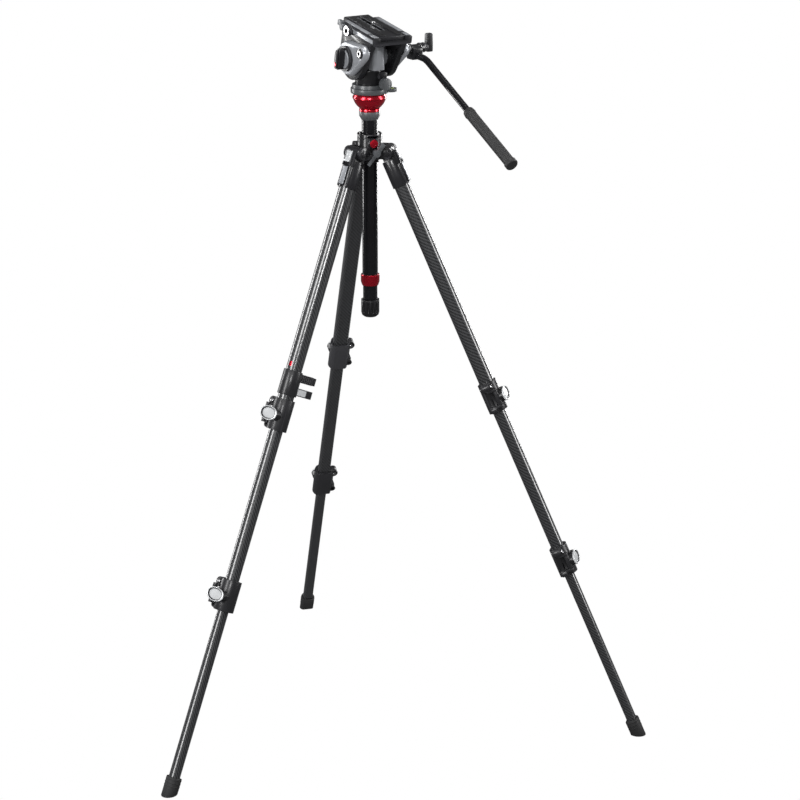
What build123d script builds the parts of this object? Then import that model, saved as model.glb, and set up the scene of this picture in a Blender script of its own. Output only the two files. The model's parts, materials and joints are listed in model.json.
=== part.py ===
"""Tripod with levelling centre column and fluid head. Millimetres, +Z up.

The origin is on the ground under the centre column. Leg a is at the front left (210 degrees), leg b at the
front right (330 degrees) and leg c at the back (90 degrees).
"""

import math
import os

from build123d import *

# Legs
LEG_ANGLES = {"a": 210, "b": 330, "c": 90}
LEG_SPLAY = 24  # of each leg from upright
PIVOT_RADIUS = 34  # leg hinge from the column axis
PIVOT_HEIGHT = 1082
LEG_INSET = 2.85  # tube centreline inward of the hinge
UPPER_R, UPPER_FLAT = 14.6, 10.5  # outer radius, and distance of the flat inner side
MIDDLE_R, MIDDLE_FLAT = 12.4, 8.7
LOWER_R, LOWER_FLAT = 10.2, 6.9
WALL = 1.4
# Distances down the leg from its hinge
UPPER_TOP, UPPER_END = 22, 484
CLAMP_1_TOP, CLAMP_1_END = 454, 511
MIDDLE_TOP, MIDDLE_END = 389, 818
CLAMP_2_TOP, CLAMP_2_END = 788, 844
LOWER_TOP, LOWER_END = 711, 1165
FOOT_TOP, FOOT_END = 1151, 1190
CLIP_TOP, CLIP_END = 401, 446

# Shoulder
COLLAR_R, COLLAR_INNER = 22, 19.4
COLLAR_LOW, COLLAR_HIGH = 1068, 1113
HINGE_R = 11.4  # rounded end of cheeks and yokes
CHEEK_IN, CHEEK_OUT = 13.4, 20.5
YOKE_HALF = 13
PIN_R = 3.0
RUNNING_FIT = 0.05
CLEAR = 0.35

# Centre column
COLUMN_R, COLUMN_WALL = 14, 1.7
COLUMN_FOOT, COLUMN_HIGH = 834, 1149
NECK_R, NECK_LOW, NECK_HIGH = 13, 809, 836  # neck that guides the draw rod
ROD_R = 2.5
BALL_CENTRE = 1183
BALL_R, BALL_INNER = 30, 24
WASHER_R, WASHER_INNER = 23.6, 20.5
PLATE_LOW, PLATE_HIGH = 1177.3, 1186

# Head, built about its own base: +Y forward, +X right, then turned on the column
HEAD_HEIGHT = PLATE_HIGH
HEAD_PAN = 16.5
TILT_AXIS = 65  # above the base
REST_TILT = 10  # nose up
ARM_IN, ARM_OUT = 26.6, 37
PLATFORM_LOW, PLATFORM_HIGH = 42, 56.5
PLATFORM_BACK, PLATFORM_FRONT, PLATFORM_HALF = -70, 38, 39
ROSETTE_Y, ROSETTE_Z = -43, 22  # pan bar pivot from the tilt axis
BAR_R, GRIP_R = 6, 10.5


def save(node, shape):
    """Write one node, its solids in one compound."""
    export_step(Compound(children=list(shape.solids())), f"parts/{node}.step")


def ring(outer, inner, low, high):
    """Upright tube between two heights."""
    body = Pos(0, 0, (low + high) / 2) * Cylinder(outer, high - low)
    return body - Pos(0, 0, (low + high) / 2) * Cylinder(inner, high - low + 2)


def rod(radius, low, high):
    """Upright cylinder between two heights."""
    return Pos(0, 0, (low + high) / 2) * Cylinder(radius, high - low)


def block(x0, x1, y0, y1, z0, z1):
    """Box between two corners."""
    return Pos((x0 + x1) / 2, (y0 + y1) / 2, (z0 + z1) / 2) * Box(x1 - x0, y1 - y0, z1 - z0)


def turned(points):
    """Solid of revolution about Z from (radius, height) points."""
    return revolve(make_face(Plane.XZ * Polyline(*points, close=True)), Axis.Z)


def along_x(radius, x0, x1):
    """Cylinder lying along X."""
    return Pos((x0 + x1) / 2, 0, 0) * Rot(0, 90, 0) * Cylinder(radius, abs(x1 - x0))


def along_y(radius, y0, y1):
    """Cylinder lying along Y."""
    return Pos(0, (y0 + y1) / 2, 0) * Rot(90, 0, 0) * Cylinder(radius, abs(y1 - y0))


def prism(outline, low, high):
    """Upright prism of a closed sketch on XY."""
    return Pos(0, 0, low) * extrude(outline, high - low)


def d_section(radius, flat):
    """Circle cut by a flat on its inward (-X) side."""
    return Circle(radius) - Pos(-flat - radius, 0) * Rectangle(2 * radius, 2 * radius + 2)


def d_tube(radius, flat, wall, top, end):
    """D-section tube down the leg, from top to end below the hinge."""
    outline = d_section(radius, flat) - d_section(radius - wall, flat - wall)
    return Pos(-LEG_INSET, 0, 0) * prism(outline, -end, -top)


def d_bar(radius, flat, top, end):
    """Solid D-section down the leg."""
    return Pos(-LEG_INSET, 0, 0) * prism(d_section(radius, flat), -end, -top)


def leg_place(angle):
    """From the leg's own frame (hinge at the origin, +X outward, tube down -Z) to the tripod."""
    return Rot(0, 0, angle) * Pos(PIVOT_RADIUS, 0, PIVOT_HEIGHT) * Rot(0, -LEG_SPLAY, 0)


# ---------------------------------------------------------------- legs


YOKE_TOP, YOKE_END = 15.5, 65
YOKE_R = 17.2
YOKE_FACE = 13.6  # outward face of the hinge block
RAIL_OUT = 16.4
TAB_HALF, TAB_END, TAB_OUT = 6.5, 20, 17.6


def yoke():
    """Hinge tongue and tapered sleeve that holds the upper tube, with rails for the angle tab."""
    body = along_y(HINGE_R, -YOKE_HALF, YOKE_HALF)
    body += block(-HINGE_R, YOKE_FACE, -YOKE_HALF, YOKE_HALF, -26, 0)
    body += d_bar(YOKE_R, UPPER_FLAT + 2, YOKE_TOP, YOKE_END)
    body += block(8, RAIL_OUT, -TAB_HALF - 3, TAB_HALF + 3, -26.6, -1)
    body -= block(YOKE_FACE, 30, -TAB_HALF - CLEAR, TAB_HALF + CLEAR, -26.6, 5)
    body += block(8, RAIL_OUT, -TAB_HALF, TAB_HALF, -YOKE_END + 3, -27)
    body -= d_bar(UPPER_R + RUNNING_FIT, UPPER_FLAT + RUNNING_FIT, UPPER_TOP - 0.2, YOKE_END + 1)
    return body - along_y(PIN_R + RUNNING_FIT, -30, 30)


def angle_tab():
    """Sprung tab that sets the leg's angle, sliding on the outward face of the yoke."""
    plate = block(YOKE_FACE + CLEAR, TAB_OUT, -TAB_HALF, TAB_HALF, -TAB_END, 0)
    lip = block(YOKE_FACE + CLEAR, TAB_OUT + 2.4, -TAB_HALF, TAB_HALF, -TAB_END, -TAB_END + 3)
    return plate + lip - Pos(TAB_OUT, 0, -8) * Box(1, 8, 8)


CLAMP_R = 18.4
LUG_IN = -8
LEVER_X, LEVER_Y = 12.5, -21.5  # hinge of a clamp lever, parallel to the leg
LEVER_BOSS_R = 4.6
LEVER_PIN_R = 1.6
LEVER_ABOVE, LEVER_BELOW = 17, 13  # room for the lever, inside the top and the foot of its clamp
BOLT_Y, BOLT_DROP = -20, 7.5
EYELET_Y, EYELET_RISE = -21, 6.5


def clamp(large, small, top, end, shoulder):
    """Split collar bonded on the large tube at its top and gripping the small tube below it.

    large and small are (radius, flat) of the two tubes. The large tube ends at the inner shoulder.
    """
    body = d_bar(CLAMP_R, large[1] + 3.6, top, end)
    body += bolt_lug(-top) + eyelet(-end)
    body += clamp_ear(-top - LEVER_ABOVE, -top - LEVER_ABOVE + 4.5)
    body += clamp_ear(-end + LEVER_BELOW - 4.5, -end + LEVER_BELOW)
    body -= d_bar(large[0] + RUNNING_FIT, large[1] + RUNNING_FIT, top - 3, shoulder)
    body -= d_bar(small[0] + CLEAR, small[1] + CLEAR, top, end + 1)
    body -= block(-0.8, 0.8, -40, -5, -end + LEVER_BELOW + 1, -shoulder)
    body -= Pos(0, BOLT_Y, -top - BOLT_DROP) * along_x(2.1, -20, 20)
    pin = Pos(LEVER_X, LEVER_Y, 0) * rod(LEVER_PIN_R, -end + LEVER_BELOW - 3, -top - LEVER_ABOVE + 3)
    return body + pin + clamp_bolt(-top - BOLT_DROP)


def bolt_lug(top):
    """Lug that stands above the lever, rounded on its free side, for the draw bolt."""
    lug = Pos(0, BOLT_Y, top - BOLT_DROP) * along_x(8, LUG_IN, 7)
    return lug + block(LUG_IN, 7, BOLT_Y, -12, top - BOLT_DROP - 8, top - BOLT_DROP + 8)


def clamp_ear(low, high):
    """Ear that holds one end of the lever's hinge pin."""
    return block(-2, LEVER_X, -26, -13, low, high) + Pos(LEVER_X, LEVER_Y, 0) * rod(4.5, low, high)


def eyelet(end):
    """Lug at the foot of a clamp with a hole through it, for a spreader or an accessory."""
    lug = Pos(0, EYELET_Y, end + EYELET_RISE) * along_x(6, LUG_IN, 4)
    web = block(LUG_IN, 4, EYELET_Y, -14, end + 0.5, end + 2 * EYELET_RISE - 0.5)
    return lug + web - Pos(0, EYELET_Y - 0.5, end + EYELET_RISE) * along_x(2.8, -30, 30)


def clamp_bolt(height):
    """Draw bolt of a clamp with its hexagonal nut."""
    nut = Pos(LUG_IN - 2.4, BOLT_Y, height) * Rot(0, 90, 0) * extrude(RegularPolygon(4, 6), 2.4)
    head = Pos(0, BOLT_Y, height) * along_x(4, 7, 8.6)
    return Pos(0, BOLT_Y, height) * along_x(1.8, LUG_IN - 2, 8) + nut + head


ARM_R = 19.1  # inside of the lever's arm, about the tube
PAD_OUT = 23.5
PAD_LONG, PAD_TALL, PAD_Y = 41, 25, -4


def clamp_lever(top, end):
    """Flip lever: boss on its hinge pin, arm across the outward face, oval pad on the arm."""
    low, high = -end + LEVER_BELOW + 0.4, -top - LEVER_ABOVE - 0.4
    body = Pos(LEVER_X, LEVER_Y, 0) * rod(LEVER_BOSS_R, low, high)
    body += block(LEVER_X, LEVER_X + LEVER_BOSS_R, LEVER_Y, LEVER_Y + 12, low + 2, high - 2)
    body += block(8, 19.4, LEVER_Y + 5, 11, low + 2, high - 2)
    pad = Rot(0, 90, 0) * extrude(Ellipse(PAD_TALL / 2, PAD_LONG / 2), PAD_OUT - 12)
    body += Pos(12, PAD_Y, (low + high) / 2) * pad
    body -= Pos(-LEG_INSET, 0, 0) * rod(ARM_R, low - 10, high + 10)
    return body - Pos(LEVER_X, LEVER_Y, 0) * rod(LEVER_PIN_R + RUNNING_FIT, low - 1, high + 1)


def foot(place):
    """Rubber foot on the lower tube, cut level where it meets the ground."""
    body = d_bar(14, LOWER_FLAT + 3.2, FOOT_TOP, FOOT_END)
    body -= d_bar(LOWER_R + RUNNING_FIT, LOWER_FLAT + RUNNING_FIT, FOOT_TOP - 1, LOWER_END)
    return place * body - block(-2000, 2000, -2000, 2000, -100, 0)


def tool_clip():
    """Clip for tools on leg a: a ring round the tube and two prongs that point to the column."""
    body = d_bar(UPPER_R + 2.8, UPPER_FLAT + 2.8, CLIP_TOP, CLIP_END)
    for top in (CLIP_TOP + 3, CLIP_END - 17):
        body += block(-60, -LEG_INSET - UPPER_FLAT, -6, 6, -top - 14, -top)
    body -= block(-55, -26, -2, 2, -CLIP_END, -CLIP_TOP)
    return body - d_bar(UPPER_R + RUNNING_FIT, UPPER_FLAT + RUNNING_FIT, CLIP_TOP - 1, CLIP_END + 1)


def build_leg(name, angle):
    """All pieces of one leg."""
    place = leg_place(angle)
    upper, middle, lower = (UPPER_R, UPPER_FLAT), (MIDDLE_R, MIDDLE_FLAT), (LOWER_R, LOWER_FLAT)
    save(f"yoke_{name}", place * yoke())
    save(f"angle_tab_{name}", place * angle_tab())
    save(f"upper_tube_{name}", place * d_tube(*upper, WALL, UPPER_TOP, UPPER_END))
    save(f"upper_clamp_{name}", place * clamp(upper, middle, CLAMP_1_TOP, CLAMP_1_END, UPPER_END))
    save(f"upper_lever_{name}", place * clamp_lever(CLAMP_1_TOP, CLAMP_1_END))
    save(f"middle_tube_{name}", place * d_tube(*middle, WALL, MIDDLE_TOP, MIDDLE_END))
    save(f"lower_clamp_{name}", place * clamp(middle, lower, CLAMP_2_TOP, CLAMP_2_END, MIDDLE_END))
    save(f"lower_lever_{name}", place * clamp_lever(CLAMP_2_TOP, CLAMP_2_END))
    save(f"lower_tube_{name}", place * d_tube(*lower, WALL, LOWER_TOP, LOWER_END))
    save(f"foot_{name}", foot(place))


# ---------------------------------------------------------------- shoulder

CHEEK_LOW, CHEEK_HIGH = 1071, 1093
BODY_R = 30
LOCK_X, LOCK_HEIGHT = 3, 1083  # screw of the column lock, on the front between legs a and b
LOCK_FACE = 30
BADGE_HEIGHT, BADGE_R = 1099, 7
DIP_R, DIP_DEPTH = 12.5, 8  # dips of the collar's rim between the legs


def shoulder_casting():
    """Collar for the column with three pairs of cheeks for the legs."""
    body = rod(COLLAR_R, COLLAR_LOW, COLLAR_HIGH)
    body += rod(BODY_R, CHEEK_LOW, CHEEK_LOW + 8)
    for angle in LEG_ANGLES.values():
        slot = block(COLLAR_R + 0.2, 80, -CHEEK_IN, CHEEK_IN, 0, COLLAR_HIGH + 5)
        body -= Rot(0, 0, angle) * slot
        body += Rot(0, 0, angle) * cheeks()
        dip = Pos(0, 0, COLLAR_HIGH + DIP_R - DIP_DEPTH) * along_x(DIP_R, 0, 60)
        body -= Rot(0, 0, angle + 60) * dip
    body += Pos(LOCK_X, 0, LOCK_HEIGHT) * along_y(6, -LOCK_FACE, -10)
    body += Pos(0, 0, BADGE_HEIGHT) * along_y(BADGE_R + 1.5, -27, -10)
    body -= rod(COLLAR_INNER, COLLAR_LOW - 5, COLLAR_HIGH + 5)
    body -= Pos(LOCK_X, 0, LOCK_HEIGHT) * along_y(PIN_R + RUNNING_FIT, -60, -10)
    badge = Pos(0, 0, BADGE_HEIGHT) * along_y(BADGE_R, -29, -27)
    return Compound(children=[*body.solids(), *badge.solids()])


def cheeks():
    """Pair of cheeks either side of a yoke, bored for the hinge pin."""
    pair = []
    for side in (-1, 1):
        near, far = sorted((side * CHEEK_IN, side * CHEEK_OUT))
        plate = block(COLLAR_INNER, PIVOT_RADIUS, near, far, CHEEK_LOW, CHEEK_HIGH)
        plate += Pos(PIVOT_RADIUS, 0, PIVOT_HEIGHT) * along_y(HINGE_R, near, far)
        pair.append(plate)
    return pair[0] + pair[1] - Pos(PIVOT_RADIUS, 0, PIVOT_HEIGHT) * along_y(PIN_R, -40, 40)


def leg_pivot_pins():
    """Three hinge pins with button heads."""
    pins = []
    for angle in LEG_ANGLES.values():
        pin = along_y(PIN_R, -CHEEK_OUT, CHEEK_OUT)
        for side in (-1, 1):
            near, far = sorted((side * CHEEK_OUT, side * (CHEEK_OUT + 1.6)))
            pin += along_y(6.5, near, far)
        pins.append(Rot(0, 0, angle) * Pos(PIVOT_RADIUS, 0, PIVOT_HEIGHT) * pin)
    return Compound(children=[solid for pin in pins for solid in pin.solids()])


def column_lock_lever():
    """Screw of the column lock with a two-ended lever."""
    body = along_y(PIN_R, -LOCK_FACE - 2, -22.4)
    body += along_y(6.5, -40, -LOCK_FACE - CLEAR)
    arms = block(-4, 4, -39, -34.5, 0, 21) + block(-2.6, 2.6, -39, -34.5, -26, 0)
    body += Rot(0, 37, 0) * arms
    return Pos(LOCK_X, 0, LOCK_HEIGHT) * body


# ---------------------------------------------------------------- centre column and levelling

BUSH_LOW = 1062
CUP_LOW, CUP_HIGH = 1153, 1158
HOLE_ANGLE = 22.5  # half angle of the hole under the levelling ball


def column_tube():
    """Column tube, closed at its foot by a neck that guides the draw rod."""
    neck = ring(NECK_R, ROD_R + 0.5, NECK_LOW, NECK_HIGH)
    return neck + ring(COLUMN_R, COLUMN_R - COLUMN_WALL, COLUMN_FOOT, COLUMN_HIGH)


def column_collar():
    """Collar at the top of the column, under the levelling cup."""
    outer = [(0, 1138), (14.6, 1138), (18.5, 1145), (18.5, CUP_LOW), (0, CUP_LOW)]
    body = turned(outer) - rod(COLUMN_R + RUNNING_FIT, 1100, COLUMN_HIGH)
    return body - rod(5, 1140, 1160)


def column_rings():
    """Red ring at the foot of the column, and the red cup that the levelling ball sits in."""
    lower = turned([(14.05, 835), (15, 835), (17, 841), (17, 855), (14.05, 855)])
    cup = ring(18.3, 5, CUP_LOW, CUP_HIGH) - Pos(0, 0, BALL_CENTRE) * Sphere(BALL_R + CLEAR)
    return Compound(children=[*lower.solids(), *cup.solids()])


def ball_shell(outer, inner, low_angle, high):
    """Spherical shell below the ball's centre, open at the bottom by a cone and cut level at the top."""
    shell = Pos(0, 0, BALL_CENTRE) * (Sphere(outer) - Sphere(inner))
    drop = 60
    cone = Pos(0, 0, BALL_CENTRE - drop / 2) * Cone(drop * math.tan(math.radians(low_angle)), 0, drop)
    return shell - cone - block(-50, 50, -50, 50, high, high + 100)


def level_plate():
    """Round plate on the ball that the head screws to, with its stud."""
    edge = 29.2
    outline = [(0, PLATE_LOW), (edge, PLATE_LOW), (edge, 1181), (25, PLATE_HIGH), (0, PLATE_HIGH)]
    return turned(outline) + rod(4.7, PLATE_HIGH, PLATE_HIGH + 7)


def level_handle():
    """Grooved cap under the column on the draw rod, which ends in the nut that pulls the washer down."""
    low, high, radius = 776, 808, 16.5
    body = turned([(0, low), (11, low), (15, low + 3), (radius, low + 8), (radius, high), (0, high)])
    for k in range(12):
        body -= Rot(0, 0, 30 * k) * Pos(radius + 1, 0, 0) * rod(2.4, low + 8, high - 4)
    return body + rod(ROD_R, high - 1, 1173) + rod(12, 1168, 1173)


# ---------------------------------------------------------------- head, in its own frame

RING_HIGH = 16
HOUSING_R, HOUSING_HIGH = 25.5, 44
POST_HALF, POST_R = 13, 40
DRUM_R = 19
AXLE_R = 6
KNOB_X, KNOB_HEIGHT, KNOB_R = 9, 19.6, 11
KNOB_NEAR, KNOB_FAR = -34.4, -43
BUBBLE_ANGLE, BUBBLE_OFFSET, BUBBLE_R = -32, 37, 11.5

head_place = Pos(0, 0, HEAD_HEIGHT) * Rot(0, 0, HEAD_PAN)
tilt_place = head_place * Pos(0, 0, TILT_AXIS) * Rot(REST_TILT, 0, 0)


def pivot_place():
    """Pan bar pivot on the right cheek, level with the ground."""
    a = math.radians(REST_TILT)
    y = ROSETTE_Y * math.cos(a) - ROSETTE_Z * math.sin(a)
    z = ROSETTE_Y * math.sin(a) + ROSETTE_Z * math.cos(a)
    return head_place * Pos(0, y, TILT_AXIS + z)


def head_base():
    """Fixed base of the head: flange, ring and the spigot that the housing turns on."""
    body = turned([(0, 0), (33, 0), (33.5, 2), (33.5, 9), (31, 10), (31, RING_HIGH), (0, RING_HIGH)])
    body += rod(8, RING_HIGH - 1, 30)
    return body - rod(4.75, -1, 8)


def bubble_level():
    """Bubble level on a tab of the base."""
    tab = Pos(BUBBLE_OFFSET, 0, 0) * rod(BUBBLE_R, 2, 8)
    tab -= Pos(BUBBLE_OFFSET, 0, 0) * rod(7.5, 7, 10)
    return Rot(0, 0, BUBBLE_ANGLE) * (tab - rod(33.5, 0, 20))


def pan_housing():
    """Turning housing of the pan drag, with the lug that carries the pan lock."""
    body = fillet(rod(HOUSING_R, RING_HIGH + CLEAR, HOUSING_HIGH).edges().sort_by(Axis.Z)[-1], 3)
    lug = block(1, 17, -31, -15, 27.5, 40)
    body += fillet(lug.edges().filter_by(Axis.Y), 4)
    body -= rod(8 + RUNNING_FIT, RING_HIGH - 1, 30.5)
    return body - Pos(KNOB_X, 0, KNOB_HEIGHT) * along_y(2.6 + RUNNING_FIT, -40, -12)


def tilt_post():
    """Central post that carries the tilt axle, with the drag drum on each side of it."""
    post = Pos(0, 0, TILT_AXIS) * along_x(POST_R, -POST_HALF, POST_HALF)
    post &= block(-POST_HALF, POST_HALF, -35, 30, HOUSING_HIGH, 120)
    post = fillet(post.edges().filter_by(Axis.Z), 8)
    drum = Pos(0, 0, TILT_AXIS) * along_x(DRUM_R, -ARM_IN + 0.4, ARM_IN - 0.4)
    return post + drum - Pos(0, 0, TILT_AXIS) * along_x(AXLE_R, -40, 40)


def pan_lock_knob():
    """Ribbed knob of the pan lock on its screw."""
    body = along_y(KNOB_R, KNOB_FAR, KNOB_NEAR)
    for k in range(20):
        groove = Pos(KNOB_R + 0.3, 0, 0) * along_y(0.8, KNOB_FAR - 1, KNOB_NEAR - 1.5)
        body -= Rot(0, 18 * k, 0) * groove
    return Pos(KNOB_X, 0, KNOB_HEIGHT) * (body + along_y(2.6, KNOB_NEAR - 1, -13))


SHIELD_R, SHIELD_BACK, SHIELD_FRONT, SHIELD_CORNER = 39, -57, 37, 34


def shield(low, high):
    """Shield-shaped slab in the YZ plane between two X stations."""
    corners = [(SHIELD_BACK, SHIELD_CORNER), (SHIELD_BACK, PLATFORM_LOW)]
    corners += [(SHIELD_FRONT, PLATFORM_LOW), (SHIELD_FRONT, SHIELD_CORNER)]
    edges = [*Circle(SHIELD_R).edges(), *Polyline(*corners).edges()]
    return extrude(Plane.YZ.offset(low) * make_face(make_hull(edges)), high - low)


def bridge():
    """Tilting bridge: the camera platform and the two arms it is bolted to, one solid each."""
    half = PLATFORM_HALF
    platform = block(-half, half, PLATFORM_BACK, PLATFORM_FRONT, PLATFORM_LOW, PLATFORM_HIGH)
    platform = chamfer(platform.edges().filter_by(Axis.Y), 2)
    platform -= block(-CHANNEL_HALF, CHANNEL_HALF, -100, 100, CHANNEL_LOW, 60)
    platform -= Pos(BUTTON_X, BUTTON_Y, 0) * rod(3.5, 50, 60)
    platform -= Pos(0, LATCH_Y, SOCKET_Z) * along_x(2.5 + RUNNING_FIT, -60, -30)
    arms = [bridge_arm(side) for side in (-1, 1)]
    return Compound(children=[s for shape in (platform, *arms) for s in shape.solids()])


def bridge_arm(side):
    """Arm under one side of the platform, with the rosette's boss and the axle's bearing."""
    inner, outer, boss = side * ARM_IN, side * ARM_OUT, side * 50
    arm = shield(*sorted((inner, outer)))
    arm += Pos(0, ROSETTE_Y, ROSETTE_Z) * along_x(9, *sorted((outer - side, boss)))
    arm -= Pos(0, ROSETTE_Y, ROSETTE_Z) * along_x(3, -60, 60)
    return arm - along_x(AXLE_R + RUNNING_FIT, -60, 60)


CHANNEL_HALF, CHANNEL_LOW = 26.3, 49.5
SOCKET_Y, SOCKET_Z = 8, 47.8
SOCKET_R, SOCKET_OUT = 4.7625, 48.3  # accessory socket, 3/8 inch thread
BUTTON_X, BUTTON_Y = -33, -48
LATCH_Y = 28


def accessory_socket():
    """Threaded steel collar on the left of the platform."""
    collar = along_x(8.5, -SOCKET_OUT + 0.6, -PLATFORM_HALF) + along_x(6.8, -SOCKET_OUT, -PLATFORM_HALF)
    return Pos(0, SOCKET_Y, SOCKET_Z) * (collar - along_x(SOCKET_R, -60, -30))


def cover(low, high, taper=0):
    """Slab round the tilt axle and the rosette between two X stations, narrowing outward by the taper."""
    edges = [*Circle(COVER_R).edges(), *(Pos(ROSETTE_Y, ROSETTE_Z) * Circle(COVER_TIP_R)).edges()]
    return extrude(Plane.YZ.offset(low) * make_face(make_hull(edges)), high - low, taper=taper)


COVER_R, COVER_TIP_R = 31, 14


def arm_covers():
    """Outer covers of the two arms, with a bevelled edge and the boss of the tilt lock."""
    covers = []
    for side in (-1, 1):
        slab = cover(ARM_OUT, ARM_OUT + 5) + cover(ARM_OUT + 5, ARM_OUT + 11, 30)
        slab -= Pos(0, ROSETTE_Y, ROSETTE_Z) * along_x(9.3, 0, 60)
        slab += along_x(20, ARM_OUT, 50)
        slab -= along_x(AXLE_R + 1, 30, 45)
        if side < 0:
            slab = mirror(slab, Plane.YZ)
            slab -= along_x(3 + RUNNING_FIT, -60, -40)
        covers += slab.solids()
    return Compound(children=covers)


def tilt_lock_knob():
    """Bar-shaped tilt lock on the left, on its screw."""
    bar = fillet(block(-70, -53, -7, 7, -19, 19).edges().filter_by(Axis.X), 3)
    return bar + along_x(17, -54, -50.4) + along_x(3, -52, -43)


def plate_lock_lever():
    """Lever on the left of the platform that clamps the camera plate."""
    body = along_x(6, -46, -PLATFORM_HALF - CLEAR) + block(-46, -PLATFORM_HALF - CLEAR, 0, 13, 1, 10)
    return Pos(0, LATCH_Y, SOCKET_Z) * (body + along_x(2.5, -41, -31))


def plate_release_button():
    """Push button that lets the camera plate slide out."""
    return Pos(BUTTON_X, BUTTON_Y, 0) * rod(3.3, 52.4, PLATFORM_HIGH + 2)


PLATE_BACK, PLATE_FRONT = -67, 53
PLATE_TOP = 58.2
SCREW_Y, SCREW_R = -2, 3.175


def slide_plate():
    """Sliding camera plate with two rubber rails and a video pin."""
    body = block(-26, 26, PLATE_BACK, PLATE_FRONT, 49.8, 57)
    body = chamfer(body.edges().filter_by(Axis.Y).sort_by(Axis.Z)[-2:], 1.5)
    body -= block(-5, 5, -32, 40, 45, 53) + block(-3.6, 3.6, -32, 40, 50, 60)
    rails = [block(x - 5, x + 5, PLATE_BACK + 4, PLATE_FRONT - 4, 57, PLATE_TOP) for x in (-17, 17)]
    pin = rod(2, 52.9, 62.5)
    pin = Pos(0, 36, 0) * (pin + rod(3.5, 53, 54.5))
    return Compound(children=[*(body + pin).solids(), *[s for r in rails for s in r.solids()]])


def camera_screw():
    """Quarter-inch camera screw in the slot of the plate."""
    body = rod(4.6, 50.3, 52.6) + rod(SCREW_R - 0.4, 52, 60) + rod(SCREW_R, PLATE_TOP, PLATE_TOP + 5.5)
    return Pos(0, SCREW_Y, 0) * body


STUB_END = 84
BAR_X, BAR_DROP = 64, -10
BAR_BEND, BAR_LENGTH, GRIP_LENGTH = 38, 150, 150
FIRST_DROOP, BAR_DROOP = 5, 28


def bar_clamp():
    """Clamp that turns on the rosette and holds the pan bar."""
    body = along_x(8.5, 50.4, 56) + along_x(7, 55, 73) + along_x(8.5, 73, STUB_END)
    block_shape = block(55.5, 73.5, -13, 12, -19, 3)
    body += fillet(block_shape.edges().filter_by(Axis.X), 5)
    body -= along_x(3 + RUNNING_FIT, 60, 100)
    return body - bar_path(BAR_R)


def bar_points():
    """Corners of the pan bar's centreline, from inside its clamp to its tip."""
    a, b = math.radians(FIRST_DROOP), math.radians(BAR_DROOP)
    start = Vector(BAR_X, 10, BAR_DROP)
    bend = start + Vector(0, -math.cos(a), -math.sin(a)) * (BAR_BEND + 10)
    tip = bend + Vector(0, -math.cos(b), -math.sin(b)) * (BAR_LENGTH + GRIP_LENGTH - 6)
    return start, bend, tip


def bar_path(radius):
    """Round bar along its bent centreline."""
    start, bend, tip = bar_points()
    path = FilletPolyline(start, bend, tip, radius=45)
    return sweep(Plane(start, z_dir=bend - start) * Circle(radius), path)


def pan_grip():
    """Rubber grip over the end of the pan bar."""
    bend, tip = bar_points()[1:]
    direction = (tip - bend).normalized()
    low, high = 0, GRIP_LENGTH
    outline = [(0, low), (GRIP_R, low), (GRIP_R, 10), (GRIP_R - 0.8, 11), (GRIP_R - 0.8, high - 10)]
    outline += [(GRIP_R + 0.6, high - 9), (GRIP_R + 0.6, high - 2), (GRIP_R - 1, high), (0, high)]
    seat = Plane(tip + direction * (6 - GRIP_LENGTH), z_dir=direction)
    return seat.location * turned(outline) - bar_path(BAR_R)


def wing_knob():
    """Wing knob that clamps the pan bar, on its screw."""
    wing = fillet(block(89, 100, -6, 6, -8, 24).edges().filter_by(Axis.X), 2.5)
    return wing + along_x(7.5, STUB_END + CLEAR, 91) + along_x(3, 62, STUB_END + 2)


# ---------------------------------------------------------------- write every node

os.makedirs("parts", exist_ok=True)
for leg_name, leg_angle in LEG_ANGLES.items():
    build_leg(leg_name, leg_angle)
save("tool_clip", leg_place(LEG_ANGLES["a"]) * tool_clip())
save("shoulder_casting", shoulder_casting())
save("leg_pivot_pins", leg_pivot_pins())
save("column_lock_lever", column_lock_lever())
save("column_bush", ring(COLLAR_INNER, COLUMN_R + RUNNING_FIT, COLLAR_LOW, COLLAR_HIGH - 16)
     + ring(16.8, COLUMN_R + RUNNING_FIT, BUSH_LOW, COLLAR_LOW + 1))
save("column_tube", column_tube())
save("column_collar", column_collar())
save("column_rings", column_rings())
save("level_handle", level_handle())
save("level_washer", ball_shell(WASHER_R, WASHER_INNER, 24, BALL_CENTRE - 14))
save("level_ball", ball_shell(BALL_R, BALL_INNER, HOLE_ANGLE, PLATE_LOW))
save("level_plate", level_plate())
save("head_base", head_place * head_base())
save("bubble_level", head_place * bubble_level())
save("pan_housing", head_place * pan_housing())
save("tilt_post", head_place * tilt_post())
save("tilt_axle", head_place * Pos(0, 0, TILT_AXIS) * along_x(AXLE_R, -ARM_OUT, ARM_OUT))
save("pan_lock_knob", head_place * pan_lock_knob())
save("bridge", tilt_place * bridge())
save("accessory_socket", tilt_place * accessory_socket())
save("arm_covers", tilt_place * arm_covers())
save("tilt_lock_knob", tilt_place * tilt_lock_knob())
save("plate_lock_lever", tilt_place * plate_lock_lever())
save("plate_release_button", tilt_place * plate_release_button())
save("slide_plate", tilt_place * slide_plate())
save("camera_screw", tilt_place * camera_screw())
save("bar_clamp", pivot_place() * bar_clamp())
save("pan_bar", pivot_place() * bar_path(BAR_R))
save("pan_grip", pivot_place() * pan_grip())
save("wing_knob", pivot_place() * wing_knob())
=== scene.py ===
"""Looks of the tripod with fluid head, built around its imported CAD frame. Metres, +Z up."""

import json
import math

import bmesh
import bpy
from mathutils import Matrix, Vector


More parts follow.
